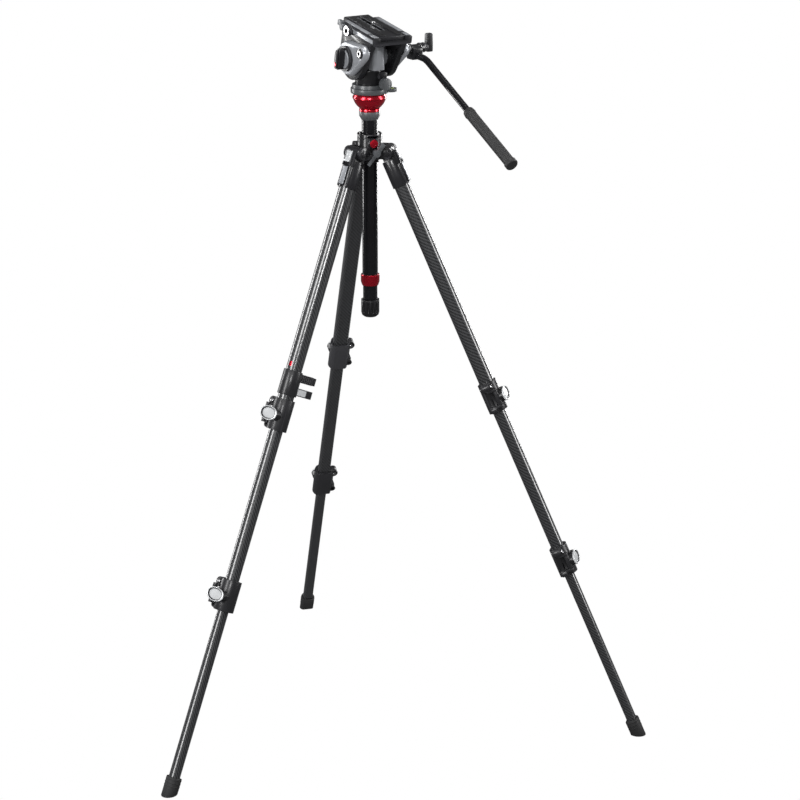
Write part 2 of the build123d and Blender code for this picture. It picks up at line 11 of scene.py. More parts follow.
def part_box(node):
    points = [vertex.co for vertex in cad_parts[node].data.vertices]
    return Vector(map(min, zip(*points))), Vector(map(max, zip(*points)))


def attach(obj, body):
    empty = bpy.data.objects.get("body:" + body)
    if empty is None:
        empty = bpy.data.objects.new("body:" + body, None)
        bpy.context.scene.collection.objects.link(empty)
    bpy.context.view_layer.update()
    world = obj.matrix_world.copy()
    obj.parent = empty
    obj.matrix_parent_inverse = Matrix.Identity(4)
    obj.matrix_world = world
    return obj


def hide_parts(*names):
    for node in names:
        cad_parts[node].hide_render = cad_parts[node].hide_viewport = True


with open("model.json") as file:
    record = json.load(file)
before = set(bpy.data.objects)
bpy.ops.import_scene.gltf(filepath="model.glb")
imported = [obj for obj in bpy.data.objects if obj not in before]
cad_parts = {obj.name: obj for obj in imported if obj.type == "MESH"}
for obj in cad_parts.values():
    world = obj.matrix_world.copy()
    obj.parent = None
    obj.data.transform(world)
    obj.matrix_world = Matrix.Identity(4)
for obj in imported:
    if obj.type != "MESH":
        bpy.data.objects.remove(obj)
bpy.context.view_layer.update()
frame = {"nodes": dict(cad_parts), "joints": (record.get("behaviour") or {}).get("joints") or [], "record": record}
joints = {joint["name"]: joint for joint in frame["joints"]}
MM = 0.001


# ---------------------------------------------------------------- frames of the moving pieces


def axes_frame(x_axis, y_axis, z_axis, origin):
    """Matrix that carries a local point into the row frame."""
    matrix = Matrix((x_axis, y_axis, z_axis)).transposed().to_4x4()
    return Matrix.Translation(origin) @ matrix


def leg_frame(leg):
    """Leg's own frame: hinge at the origin, +X outward, tube down -Z."""
    z_axis = -Vector(joints[f"middle_{leg}_slide"]["axis"]).normalized()
    y_axis = -Vector(joints[f"leg_{leg}_splay"]["axis"]).normalized()
    return axes_frame(y_axis.cross(z_axis), y_axis, z_axis, Vector(joints[f"leg_{leg}_splay"]["pos_m"]))


def head_frames():
    """Frames of the tilting bridge and of the pan bar."""
    right = Vector(joints["tilt"]["axis"]).normalized()
    tilt_axis = Vector(joints["tilt"]["pos_m"])
    forward = Vector((0, 0, 1)).cross(right)
    nose = Vector(joints["plate_slide"]["axis"]).normalized()
    tilting = axes_frame(right, nose, right.cross(nose), tilt_axis)
    rosette = Vector(joints["pan_bar_angle"]["pos_m"])
    rosette -= right * (rosette - tilt_axis).dot(right)
    bar = axes_frame(right, forward, Vector((0, 0, 1)), rosette)
    return tilting, bar


LEGS = ("a", "b", "c")
LEG = {leg: leg_frame(leg) for leg in LEGS}
TILTING, BAR = head_frames()
WORLD = Matrix.Identity(4)
# Sizes below are in mm, in the frame that the piece is drawn in.
TUBE_INSET = 2.85  # leg tube's centreline inward of its hinge


# ---------------------------------------------------------------- materials

NOISE_LOW, NOISE_HIGH = 0.3, 0.7  # range that a noise factor mostly covers
CLOUD_SCALE = 22.0
EDGE_LOW, EDGE_HIGH, EDGE_TINT = 0.52, 0.62, 6.0  # pointiness of a worn edge, and how much lighter it is
GLOSS_LOW, GLOSS_HIGH = 0.85, 1.2
SHEEN, DARK_SHEEN, DARK = 0.5, 0.34, 0.2  # specular level, and that of colours below the dark limit
GRAIN_DEPTH, WEAVE_DEPTH = 0.0003, 0.0002
CELL, WOUND_R = 0.0019, 0.0146  # side of a twill cell and radius it is wound at, in metres
TWILL_REPEAT, TWILL_OVER = 4.0, 1.5  # cells in a repeat, and the limit of those that lie on top

def new_material(name):
    """Empty node material with its shader and object coordinates."""
    material = bpy.data.materials.new(name)
    material.use_nodes = True
    nodes, links = material.node_tree.nodes, material.node_tree.links
    shader = nodes["Principled BSDF"]
    coords = nodes.new("ShaderNodeTexCoord").outputs["Object"]
    return material, nodes, links, shader, coords


def noise(nodes, links, coords, scale, detail=4.0, stretch=None):
    """Noise factor over the coordinates, optionally stretched along the axes."""
    if stretch:
        mapping = nodes.new("ShaderNodeMapping")
        mapping.inputs["Scale"].default_value = stretch
        links.new(coords, mapping.inputs["Vector"])
        coords = mapping.outputs["Vector"]
    texture = nodes.new("ShaderNodeTexNoise")
    texture.inputs["Scale"].default_value = scale
    texture.inputs["Detail"].default_value = detail
    links.new(coords, texture.inputs["Vector"])
    return texture.outputs["Fac"]


def ramp(nodes, links, factor, low, high, low_colour, high_colour):
    """Colour ramp between two colours over a range of the factor."""
    node = nodes.new("ShaderNodeValToRGB")
    node.color_ramp.elements[0].position = low
    node.color_ramp.elements[1].position = high
    node.color_ramp.elements[0].color = (*low_colour, 1)
    node.color_ramp.elements[1].color = (*high_colour, 1)
    links.new(factor, node.inputs["Fac"])
    return node.outputs["Color"]


def spread(nodes, links, factor, low, high):
    """Factor's middle range carried to low..high."""
    node = nodes.new("ShaderNodeMapRange")
    node.inputs["From Min"].default_value = NOISE_LOW
    node.inputs["From Max"].default_value = NOISE_HIGH
    node.inputs["To Min"].default_value = low
    node.inputs["To Max"].default_value = high
    links.new(factor, node.inputs["Value"])
    return node.outputs["Result"]


def bump(nodes, links, shader, height, strength, distance):
    """Bump from a height field onto the shader."""
    node = nodes.new("ShaderNodeBump")
    node.inputs["Strength"].default_value = strength
    node.inputs["Distance"].default_value = distance
    links.new(height, node.inputs["Height"])
    links.new(node.outputs["Normal"], shader.inputs["Normal"])


def tint(colour, factor):
    """Colour scaled by a factor."""
    return tuple(min(1.0, channel * factor) for channel in colour)


def worn_edges(nodes, links, tone, colour, wear):
    """Tone made lighter where the surface has sharp edges."""
    pointiness = nodes.new("ShaderNodeNewGeometry").outputs["Pointiness"]
    edge = ramp(nodes, links, pointiness, EDGE_LOW, EDGE_HIGH, (0, 0, 0), (wear, wear, wear))
    mix = nodes.new("ShaderNodeMix")
    mix.data_type = "RGBA"
    mix.inputs["B"].default_value = (*tint(colour, EDGE_TINT), 1)
    links.new(edge, mix.inputs["Factor"])
    links.new(tone, mix.inputs["A"])
    return mix.outputs["Result"]


def surface(name, colour, rough, metal=0.0, grain=1500.0, relief=0.15, coat=0.0, wear=0.0, stretch=None,
            vary=0.25):
    """Moulded, painted or machined surface: cloudy tone, fine grain, uneven gloss and worn edges."""
    material, nodes, links, shader, coords = new_material(name)
    cloud = noise(nodes, links, coords, CLOUD_SCALE, 5.0)
    fine = noise(nodes, links, coords, grain, 3.0, stretch)
    tone = ramp(nodes, links, cloud, NOISE_LOW, NOISE_HIGH, tint(colour, 1 - vary), tint(colour, 1 + vary))
    if wear:
        tone = worn_edges(nodes, links, tone, colour, wear)
    links.new(tone, shader.inputs["Base Color"])
    gloss = spread(nodes, links, cloud, rough * GLOSS_LOW, rough * GLOSS_HIGH)
    links.new(gloss, shader.inputs["Roughness"])
    shader.inputs["Metallic"].default_value = metal
    shader.inputs["Coat Weight"].default_value = coat
    shader.inputs["Coat Roughness"].default_value = 0.08
    shader.inputs["Specular IOR Level"].default_value = SHEEN if metal or max(colour) > DARK else DARK_SHEEN
    bump(nodes, links, shader, fine, relief, GRAIN_DEPTH)
    return material


def dot(nodes, links, vector, axis):
    """Distance of the point along an axis."""
    node = nodes.new("ShaderNodeVectorMath")
    node.operation = "DOT_PRODUCT"
    node.inputs[1].default_value = axis
    links.new(vector, node.inputs[0])
    return node.outputs["Value"]


def maths(nodes, links, operation, *values):
    """Math node over sockets or numbers."""
    node = nodes.new("ShaderNodeMath")
    node.operation = operation
    for index, value in enumerate(values):
        if isinstance(value, (int, float)):
            node.inputs[index].default_value = value
        else:
            links.new(value, node.inputs[index])
    return node.outputs["Value"]


def carbon(name, matrix):
    """Clear-coated twill of carbon fibre wound round a tube that runs down the matrix's Z axis."""
    material, nodes, links, shader, coords = new_material(name)
    centre = matrix @ Vector((-TUBE_INSET * MM, 0, 0))
    offset = nodes.new("ShaderNodeVectorMath")
    offset.operation = "SUBTRACT"
    offset.inputs[1].default_value = centre
    links.new(coords, offset.inputs[0])
    point = offset.outputs["Vector"]
    turn = matrix.to_3x3()
    across = dot(nodes, links, point, turn.col[1])
    outward = dot(nodes, links, point, turn.col[0])
    down = dot(nodes, links, point, turn.col[2])
    angle = maths(nodes, links, "ARCTAN2", across, outward)
    column = maths(nodes, links, "FLOOR", maths(nodes, links, "MULTIPLY", angle, WOUND_R / CELL))
    row = maths(nodes, links, "FLOOR", maths(nodes, links, "DIVIDE", down, CELL))
    step = maths(nodes, links, "FLOORED_MODULO", maths(nodes, links, "ADD", column, row), TWILL_REPEAT)
    over = maths(nodes, links, "LESS_THAN", step, TWILL_OVER)
    fibre = noise(nodes, links, coords, 1800.0, 2.0)
    tone = ramp(nodes, links, over, 0.0, 1.0, (0.006, 0.006, 0.007), (0.022, 0.023, 0.025))
    links.new(tone, shader.inputs["Base Color"])
    weave = maths(nodes, links, "MULTIPLY_ADD", over, 0.14, 0.30)
    links.new(maths(nodes, links, "MULTIPLY_ADD", fibre, 0.08, weave), shader.inputs["Roughness"])
    shader.inputs["Coat Weight"].default_value = 1.0
    shader.inputs["Coat Roughness"].default_value = 0.13
    bump(nodes, links, shader, maths(nodes, links, "MULTIPLY_ADD", over, 0.6, fibre), 0.12, WEAVE_DEPTH)
    return material


M = {
    "casting": surface("black_casting", (0.007, 0.007, 0.008), 0.3, 0.0, 1400.0, 0.16, coat=0.2, wear=0.5),
    "plastic": surface("black_plastic", (0.008, 0.008, 0.009), 0.36, relief=0.2, coat=0.1, wear=0.4),
    "silver": surface("silver_paint", (0.5, 0.51, 0.52), 0.34, 0.35, 1600.0, 0.12, coat=0.2, vary=0.08),
    "light_grey": surface("grey_paint", (0.3, 0.31, 0.33), 0.34, 0.5, coat=0.3, vary=0.08),
    "grey": surface("dark_grey_plastic", (0.05, 0.053, 0.057), 0.36, 0.1, 1400.0, 0.16, coat=0.1, wear=0.3),
    "red": surface("red_anodised", (0.47, 0.006, 0.02), 0.24, 0.8, 2000.0, relief=0.1, coat=0.4,
                   stretch=(0.15, 0.15, 3.0), vary=0.12),
    "column": surface("black_anodised", (0.004, 0.004, 0.005), 0.2, relief=0.015, coat=0.4,
                      stretch=(2.0, 2.0, 0.05)),
    "rubber": surface("rubber", (0.012, 0.012, 0.0125), 0.6, grain=1100.0, relief=0.25),
    "steel": surface("steel", (0.6, 0.6, 0.61), 0.22, 1.0, 1800.0, relief=0.08, vary=0.06),
}
CARBON = {leg: carbon(f"carbon_twill_{leg}", LEG[leg]) for leg in LEGS}

FINISH = {
    "casting": ("shoulder_casting", "leg_pivot_pins", "pan_housing", "bridge", "slide_plate", "bar_clamp"),
    "plastic": ("tool_clip", "level_handle", "tilt_lock_knob", "wing_knob", "column_bush", "level_washer"),
    "grey": ("column_lock_lever", "column_collar", "head_base", "bubble_level", "pan_lock_knob",
             "plate_lock_lever", "plate_release_button"),
    "red": ("column_rings", "level_ball", "level_plate"),
    "light_grey": ("tilt_post", "arm_covers"),
    "steel": ("tilt_axle", "camera_screw", "accessory_socket"),
    "column": ("column_tube", "pan_bar"),
    "rubber": ("pan_grip",),
}


def paint(piece, material):
    """Give a piece one material."""
    piece.data.materials.clear()
    piece.data.materials.append(material)
    return piece


def paint_frame():
    """Finish of every CAD node."""
    for finish, names in FINISH.items():
        for name in names:
            paint(frame["nodes"][name], M[finish])
    for leg in LEGS:
        for name in ("upper_tube", "middle_tube", "lower_tube"):
            paint(frame["nodes"][f"{name}_{leg}"], CARBON[leg])
        for name in ("upper_clamp", "lower_clamp", "upper_lever", "lower_lever"):
            paint(frame["nodes"][f"{name}_{leg}"], M["plastic"])
        paint(frame["nodes"][f"yoke_{leg}"], M["casting"])
        paint(frame["nodes"][f"angle_tab_{leg}"], M["silver"])
        paint(frame["nodes"][f"foot_{leg}"], M["rubber"])


paint_frame()


# ---------------------------------------------------------------- making pieces


SLOT_OF = {entry["node"]: entry["material_slot"] for entry in frame["record"]["subparts"]}
BODY_OF = {node: body for body, nodes in frame["record"]["behaviour"]["bodies"].items() for node in nodes}
SHARP, LEVEL = math.radians(32), math.radians(0.6)  # edges that stay sharp, and faces that count as one
MERGE = 1e-6  # metres between points that count as one


def finish_mesh(piece, bevel=0.0, segments=2):
    """Round the sharp edges, then shade smoothly with the remaining sharp edges marked."""
    if bevel:
        modifier = piece.modifiers.new("round_edges", "BEVEL")
        modifier.width = bevel * MM
        modifier.segments = segments
        modifier.limit_method = "ANGLE"
        modifier.angle_limit = SHARP
        modifier.use_clamp_overlap = True
        bpy.context.view_layer.update()
        graph = bpy.context.evaluated_depsgraph_get()
        piece_mesh = bpy.data.meshes.new_from_object(piece.evaluated_get(graph))
        piece.modifiers.clear()
        piece.data = piece_mesh
    work = bmesh.new()
    work.from_mesh(piece.data)
    for face in work.faces:
        face.smooth = True
    for edge in work.edges:
        edge.smooth = len(edge.link_faces) != 2 or edge.calc_face_angle(0) < SHARP
    work.to_mesh(piece.data)
    work.free()
    return piece


def new_piece(name, work, body, material, bevel=0.0, segments=2):
    """Turn a bmesh into a piece that rides on a body."""
    bmesh.ops.recalc_face_normals(work, faces=work.faces)
    mesh = bpy.data.meshes.new(name)
    work.to_mesh(mesh)
    work.free()
    piece = bpy.data.objects.new(name, mesh)
    bpy.context.scene.collection.objects.link(piece)
    finish_mesh(piece, bevel, segments)
    paint(piece, material)
    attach(piece, body)
    return piece


def rounded(node, bevel=0.6, segments=2):
    """Copy of a CAD node with its sharp edges rounded, which stands for it."""
    source = frame["nodes"][node]
    work = bmesh.new()
    work.from_mesh(source.data)
    bmesh.ops.remove_doubles(work, verts=work.verts, dist=MERGE)
    bmesh.ops.dissolve_limit(work, angle_limit=LEVEL, verts=work.verts, edges=work.edges)
    material = source.data.materials[0]
    piece = new_piece(f"{node}_body", work, BODY_OF[node], material, bevel, segments)
    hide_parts(node)
    return piece


def ring_of(work, matrix, points, height):
    """Points of an outline at one height along the matrix's Z."""
    return [work.verts.new(matrix @ Vector((x * MM, y * MM, height * MM))) for x, y in points]


def circle(radius, steps):
    """Outline of a circle."""
    turns = [2 * math.pi * step / steps for step in range(steps)]
    return [(radius * math.cos(turn), radius * math.sin(turn)) for turn in turns]


def join(work, low, high):
    """Faces between two rings of points, where a ring may be a single point."""
    steps = max(len(low), len(high))
    for step in range(steps):
        after = (step + 1) % steps
        corners = [low[step % len(low)], low[after % len(low)]]
        corners += [high[after % len(high)], high[step % len(high)]]
        unique = list(dict.fromkeys(corners))
        if len(unique) > 2:
            work.faces.new(unique)


def stack(work, matrix, profile, outline):
    """Add a skin through (scale, height in mm) pairs of an outline drawn for each scale."""
    rings = []
    for scale, height in profile:
        rings.append(ring_of(work, matrix, outline(scale) if scale > 0 else [(0, 0)], height))
    for low, high in zip(rings, rings[1:]):
        join(work, low, high)


def lathe(work, matrix, profile, steps=48):
    """Add a solid of revolution about the matrix's Z, from (radius, height) pairs in mm."""
    stack(work, matrix, profile, lambda radius: circle(radius, steps))


def slab(work, matrix, outline, low, high):
    """Add a prism: an outline of (x, y) in mm, between two heights along the matrix's Z."""
    bottom, top = ring_of(work, matrix, outline, low), ring_of(work, matrix, outline, high)
    work.faces.new(bottom)
    work.faces.new(top)
    join(work, bottom, top)


def box(work, matrix, x0, x1, y0, y1, z0, z1):
    """Add a box in the matrix's frame, in mm."""
    slab(work, matrix, [(x0, y0), (x1, y0), (x1, y1), (x0, y1)], z0, z1)


def oval(width, height, count=48, power=2.0):
    """Outline of an oval, squarer with a higher power."""
    points = []
    for c, s in circle(1, count):
        x = math.copysign(abs(c) ** (2 / power), c) * width / 2
        y = math.copysign(abs(s) ** (2 / power), s) * height / 2
        points.append((x, y))
    return points


def ridged_ring(work, matrix, inner, outer, low, high, teeth, depth):
    """Add a collar with teeth round its edge."""
    count = 4 * teeth  # points round the edge, two on each tooth and two in each gap
    outline = []
    for step, (x, y) in enumerate(circle(1, count)):
        radius = outer - (depth if step % 4 in (0, 1) else 0)
        outline.append((radius * x, radius * y))
    bottom, top = ring_of(work, matrix, outline, low), ring_of(work, matrix, outline, high)
    hole = circle(inner, count)
    hole_low, hole_high = ring_of(work, matrix, hole, low), ring_of(work, matrix, hole, high)
    join(work, bottom, top)
    join(work, top, hole_high)
    join(work, hole_high, hole_low)
    join(work, hole_low, bottom)


def along(axis):
    """Rotation that turns a local axis letter into Z, for lathes and slabs lying along it."""
    if axis == "x":
        return Matrix(((0, 0, 1), (1, 0, 0), (0, 1, 0))).to_4x4()
    return Matrix(((0, 1, 0), (0, 0, 1), (1, 0, 0))).to_4x4()


def at(x, y, z):
    """Shift in mm."""
    return Matrix.Translation((x * MM, y * MM, z * MM))


def both_sides(near, far):
    """Spans (low, high) of something on the left and on the right of the middle."""
    return (-far, -near), (near, far)


# ---------------------------------------------------------------- every CAD node that keeps its shape


ROUNDING = {
    "shoulder_casting": 0.8, "column_lock_lever": 0.7, "column_collar": 0.5, "level_handle": 0.8,
    "tool_clip": 0.8, "head_base": 0.6, "bubble_level": 0.6, "pan_housing": 0.8, "tilt_post": 1.6,
    "pan_lock_knob": 0.5, "bridge": 0.9, "arm_covers": 0.8, "plate_lock_lever": 1.0,
    "plate_release_button": 0.4, "bar_clamp": 0.8, "level_ball": 0.3, "camera_screw": 0.3,
    "leg_pivot_pins": 0.5, "slide_plate": 0.5,
}
LEG_ROUNDING = {"yoke": 1.0, "angle_tab": 0.6, "upper_clamp": 0.9, "lower_clamp": 0.9, "upper_lever": 1.0,
                "lower_lever": 1.0, "foot": 1.2}

for node_name, width in ROUNDING.items():
    rounded(node_name, width)
for leg in LEGS:
    for node_name, width in LEG_ROUNDING.items():
        rounded(f"{node_name}_{leg}", width)


# ---------------------------------------------------------------- legs: pads, bolts, ribs, feet and clip

CLAMP_TOPS = {"upper": 454, "lower": 788}  # down the leg from its hinge
CLAMP_ENDS = {"upper": 511, "lower": 844}
LEVER_ABOVE, LEVER_BELOW = 17, 13
PAD_LONG, PAD_TALL, PAD_Y, PAD_FACE = 41, 25, -4, 23.5
PAD_POWER = 2.2
BOLT_Y, BOLT_DROP, BOLT_NUT_R = -20, 7.5, 3.4
# (share of the radius, height) from the rim inward
PAD_PROFILE = [(0.9, -0.5), (0.985, 0.2), (1.0, 1.2), (0.98, 2.2), (0.93, 2.6), (0.88, 2.3), (0.845, 0.9),
               (0.78, 0.4), (0.7, 0.6), (0.5, 1.0), (0.25, 1.25), (0.0, 1.3)]
# Black ring laid in the dish's groove: painted shade along the groove's inner edge, (share of the radius, height)
# as above.
PAD_SHADE_RING = [(0.875, 2.0), (0.84, 1.05), (0.79, 0.75), (0.75, 0.75), (0.74, 0.5)]
# (radius, height) of the screw in the draw bolt's outer end, and the heights of the nut at the other end
SCREW_HEAD = [(2.2, 7.6), (2.2, 8.0), (3.6, 8.0), (3.7, 9.3), (3.3, 9.9), (2.0, 9.9), (2.0, 8.9), (0, 8.9)]
NUT_LOW, NUT_HIGH = -10.9, -10.2


def lever_pad(leg, clamp):
    """Silver oval dish on the outside of a clamp lever, with a black ring laid in the groove inside its rim as
    painted shade.
    """
    middle = -(CLAMP_TOPS[clamp] + LEVER_ABOVE + CLAMP_ENDS[clamp] - LEVER_BELOW) / 2
    place = LEG[leg] @ at(PAD_FACE, PAD_Y, middle) @ along("x")
    body = f"{clamp}_lever_{leg}"
    # The second kind is a black ring laid in the groove as painted shade.
    kinds = (("pad", PAD_PROFILE, M["silver"], SLOT_OF[f"angle_tab_{leg}"]),
             ("pad_painted_shade", PAD_SHADE_RING, M["plastic"], "clamp_plastic"))
    for kind, profile, material, slot in kinds:
        work = bmesh.new()
        stack(work, place, profile, lambda share: oval(PAD_LONG * share, PAD_TALL * share, power=PAD_POWER))
        new_piece(f"{clamp}_{kind}_{leg}", work, body, material)


def clamp_screw(leg, clamp):
    """Steel socket screw in the draw bolt's outer end, and its nut at the inner end."""
    place = LEG[leg] @ at(0, BOLT_Y, -CLAMP_TOPS[clamp] - BOLT_DROP) @ along("x")
    work = bmesh.new()
    lathe(work, place, SCREW_HEAD)
    slab(work, place, circle(BOLT_NUT_R, 6), NUT_LOW, NUT_HIGH)
    new_piece(f"{clamp}_screw_{leg}", work, BODY_OF[f"{clamp}_clamp_{leg}"], M["steel"], 0.2, 1)


# Boxes are x0, x1, y0, y1, z0, z1.
YOKE_INLAY = (15.6, 16.9, -5.2, 5.2, -60.5, -28.5)
RIB_IN, RIB_OUT, RIB_NEAR, RIB_FAR, RIB_LOW, RIB_HIGH = 9, 13.2, 9.5, 11.5, -63.5, -27


def sleeve_ribs(leg):
    """Raised ribs and a grey inlay on the outward side of the yoke."""
    work = bmesh.new()
    box(work, LEG[leg], *YOKE_INLAY)
    new_piece(f"yoke_inlay_{leg}", work, f"leg_{leg}", M["light_grey"], 0.5, 3)
    work = bmesh.new()
    for span in both_sides(RIB_NEAR, RIB_FAR):
        box(work, LEG[leg], RIB_IN, RIB_OUT, *span, RIB_LOW, RIB_HIGH)
    new_piece(f"yoke_ribs_{leg}", work, f"leg_{leg}", M["casting"], 0.5, 2)


FOOT_RING_DROPS = (1155, 1161, 1167)
FOOT_RING_R, FOOT_RING_FLAT, FOOT_RING_HALF = 14.35, -10.3, 1.1


def foot_rings(leg):
    """Moulded rings round the rubber foot."""
    outline = [(max(x, FOOT_RING_FLAT) - TUBE_INSET, y) for x, y in circle(FOOT_RING_R, 40)]
    work = bmesh.new()
    for drop in FOOT_RING_DROPS:
        slab(work, LEG[leg], outline, -drop - FOOT_RING_HALF, -drop + FOOT_RING_HALF)
    new_piece(f"foot_rings_{leg}", work, BODY_OF[f"foot_{leg}"], M["rubber"], 0.4, 2)


LABEL_LOW, LABEL_HIGH = -394, -386
LABEL_IN, LABEL_OUT = 14.3, 14.72
LABEL_HALF, LABEL_STEPS = math.radians(24), 8  # half the label's angle round the tube


def leg_label():
    """Plain red label on the upper tube of leg a."""
    turns = [LABEL_HALF * (2 * step / LABEL_STEPS - 1) for step in range(LABEL_STEPS + 1)]
    arc = [(LABEL_OUT, turn) for turn in turns] + [(LABEL_IN, turn) for turn in reversed(turns)]
    outline = [(radius * math.cos(turn) - TUBE_INSET, radius * math.sin(turn)) for radius, turn in arc]
    work = bmesh.new()
    slab(work, LEG["a"] @ Matrix.Rotation(LABEL_HALF, 4, "Z"), outline, LABEL_LOW, LABEL_HIGH)
    new_piece("leg_label", work, "leg_a", M["red"])


CLIP_RIDGES, CLIP_START, CLIP_PITCH, CLIP_RIDGE = 7, -52, 5.0, 2.0
CLIP_HALF, CLIP_LOW, CLIP_HIGH = 6.4, -418.6, -403.4
CLIP_INLAY = (-44, -15, -6.5, 6.5, -441.5, -430.5)


def tool_clip_ridges():
    """Ridges of the clip's upper prong and the light inlay of the lower one."""
    work = bmesh.new()
    for k in range(CLIP_RIDGES):
        x = CLIP_START + CLIP_PITCH * k
        box(work, LEG["a"], x, x + CLIP_RIDGE, -CLIP_HALF, CLIP_HALF, CLIP_LOW, CLIP_HIGH)
    new_piece("clip_ridges", work, "leg_a", M["plastic"], 0.3, 1)
    work = bmesh.new()
    box(work, LEG["a"], *CLIP_INLAY)
    new_piece("clip_inlay", work, "leg_a", M["silver"], 0.4, 1)


for leg in LEGS:
    for clamp in CLAMP_TOPS:
        lever_pad(leg, clamp)
        clamp_screw(leg, clamp)
    sleeve_ribs(leg)
    foot_rings(leg)
leg_label()
tool_clip_ridges()


# ---------------------------------------------------------------- pan bar

BAR_START = (64, 10, -10)
FIRST_DROOP, BAR_DROOP = math.radians(5), math.radians(28)
BEND_RUN, TIP_RUN, GRIP_PAST_TIP = 48, 294, 6  # along the bar to its bend, then to its tip
GRIP_R, GRIP_LENGTH, GRIP_AROUND, GRIP_ROWS = 10.5, 150, 72, 200
GRIP_END = 9  # length of the smooth collar at each end
GRIP_ROLL, GRIP_FLANGE, FLANGE_ROUND, FLANGE_FALL = 1.2, 0.7, 2, 1.6
RIB_PITCH, RIB_DEPTH, RIB_FLOOR, FLUTES = 3.6, 1.0, 1.3, 4.5


def grip_radius(height, turn):
    """Radius of the grip's skin at a height and an angle, in mm."""
    if height < GRIP_END:
        return GRIP_R - GRIP_ROLL + GRIP_ROLL * math.sin(math.pi / 2 * height / GRIP_END)
    if height > GRIP_LENGTH - GRIP_END:
        drop = max(0.0, height - GRIP_LENGTH + FLANGE_ROUND) / FLANGE_ROUND
        return GRIP_R + GRIP_FLANGE - FLANGE_FALL * drop ** 2
    groove = 0.5 * (1 + math.cos(2 * math.pi * (height - GRIP_END) / RIB_PITCH)) ** 0.6
    flute = abs(math.sin(FLUTES * turn)) ** 0.5
    return GRIP_R - RIB_FLOOR + RIB_DEPTH * min(1.0, groove) * flute


def droop(angle):
    """Backward direction that falls by an angle."""
    return Vector((0, -math.cos(angle), -math.sin(angle)))


def pan_grip():
    """Ribbed rubber grip: rings broken by lengthwise grooves, with a flanged end."""
    direction, side = droop(BAR_DROOP), Vector((1, 0, 0))
    seat = Vector(BAR_START) + droop(FIRST_DROOP) * BEND_RUN
    seat += direction * (TIP_RUN + GRIP_PAST_TIP - GRIP_LENGTH)
    place = BAR @ axes_frame(side, direction.cross(side), direction, seat * MM)
    turns = [2 * math.pi * step / GRIP_AROUND for step in range(GRIP_AROUND)]
    work = bmesh.new()
    rings = [[work.verts.new(place @ Vector((0, 0, 0)))]]
    for row in range(GRIP_ROWS + 1):
        height = GRIP_LENGTH * row / GRIP_ROWS
        reach = [grip_radius(height, turn) for turn in turns]
        skin = [(r * math.cos(turn), r * math.sin(turn)) for r, turn in zip(reach, turns)]
        rings.append(ring_of(work, place, skin, height))
    rings.append([work.verts.new(place @ Vector((0, 0, GRIP_LENGTH * MM)))])
    for low, high in zip(rings, rings[1:]):
        join(work, low, high)
    piece = new_piece("pan_grip_rubber", work, BODY_OF["pan_grip"], M["rubber"])
    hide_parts("pan_grip")


WING_BOSS = [(0, 84.5), (7.6, 84.5), (8.0, 85.2), (8.0, 88), (7.0, 91), (0, 91)]
WING_OUTLINE = [(-6, -7.5), (-4, -8.5), (4, -8.5), (6, -7.5), (6.6, 4), (6.0, 14), (5.6, 22), (3.6, 24),
                (-3.6, 24), (-5.6, 22), (-6.0, 14), (-6.6, 4)]
WING_LOW, WING_HIGH = 89.5, 99.6


def wing():
    """Wing knob of the pan bar, waisted towards its boss."""
    place = BAR @ along("x")
    work = bmesh.new()
    lathe(work, place, WING_BOSS)
    slab(work, place, WING_OUTLINE, WING_LOW, WING_HIGH)
    piece = new_piece("wing_knob_body", work, BODY_OF["wing_knob"], M["plastic"], 1.6, 3)
    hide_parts("wing_knob")


WASHERS = ([(8.4, 50.3), (9.3, 50.6), (9.3, 52.2), (8.4, 52.5)],
           [(7.0, 73.2), (9.0, 73.4), (9.0, 74.8), (8.4, 75.2)],
           [(8.4, 82.0), (8.9, 82.3), (8.9, 83.6), (8.4, 83.9)])


def bar_washers():
    """Bright washers on the pan bar's pivot and on the stub of the wing knob."""
    work = bmesh.new()
    for profile in WASHERS:
        lathe(work, BAR @ along("x"), profile)
    new_piece("bar_washers", work, BODY_OF["bar_clamp"], M["steel"])


pan_grip()
wing()
bar_washers()


# ---------------------------------------------------------------- camera platform and tilt lock

RAIL_MIDDLES, RAIL_HALF = (-17, 17), 4.4
RAIL_BACK, RAIL_FRONT, RAIL_LOW, RAIL_HIGH = -61.5, 47.5, 57.6, 58.7
RIDGES, RIDGE_PITCH, RIDGE_WIDTH = 5, 1.9, 1.0
SLOT_IN, SLOT_OUT, SLOT_BACK, SLOT_FRONT = 4.2, 5.0, -34, 42
SLOT_LOW, SLOT_HIGH = 56.8, 57.25


def plate_details():
    """Ribbed rubber rails of the camera plate and the bright edges of its slot."""
    work = bmesh.new()
    for middle in RAIL_MIDDLES:
        for k in range(RIDGES):
            x = middle - RAIL_HALF + k * RIDGE_PITCH
            box(work, TILTING, x, x + RIDGE_WIDTH, RAIL_BACK, RAIL_FRONT, RAIL_LOW, RAIL_HIGH)
    new_piece("plate_rails", work, BODY_OF["slide_plate"], M["rubber"], 0.2, 1)
    work = bmesh.new()
    for span in both_sides(SLOT_IN, SLOT_OUT):
        box(work, TILTING, *span, SLOT_BACK, SLOT_FRONT, SLOT_LOW, SLOT_HIGH)
    new_piece("plate_slot_edges", work, BODY_OF["slide_plate"], M["light_grey"], 0.15, 1)


STRIP_IN, STRIP_OUT, STRIP_LOW, STRIP_HIGH = 28, 36.6, 56.0, 57.3
STRIP_SPANS = ((-66, -52), (-43, 34))
EDGE_IN, EDGE_OUT = 38.4, 39.5
EDGE_BACK, EDGE_FRONT, EDGE_BOTTOM, EDGE_TOP = -66, -2, 45.5, 52.5


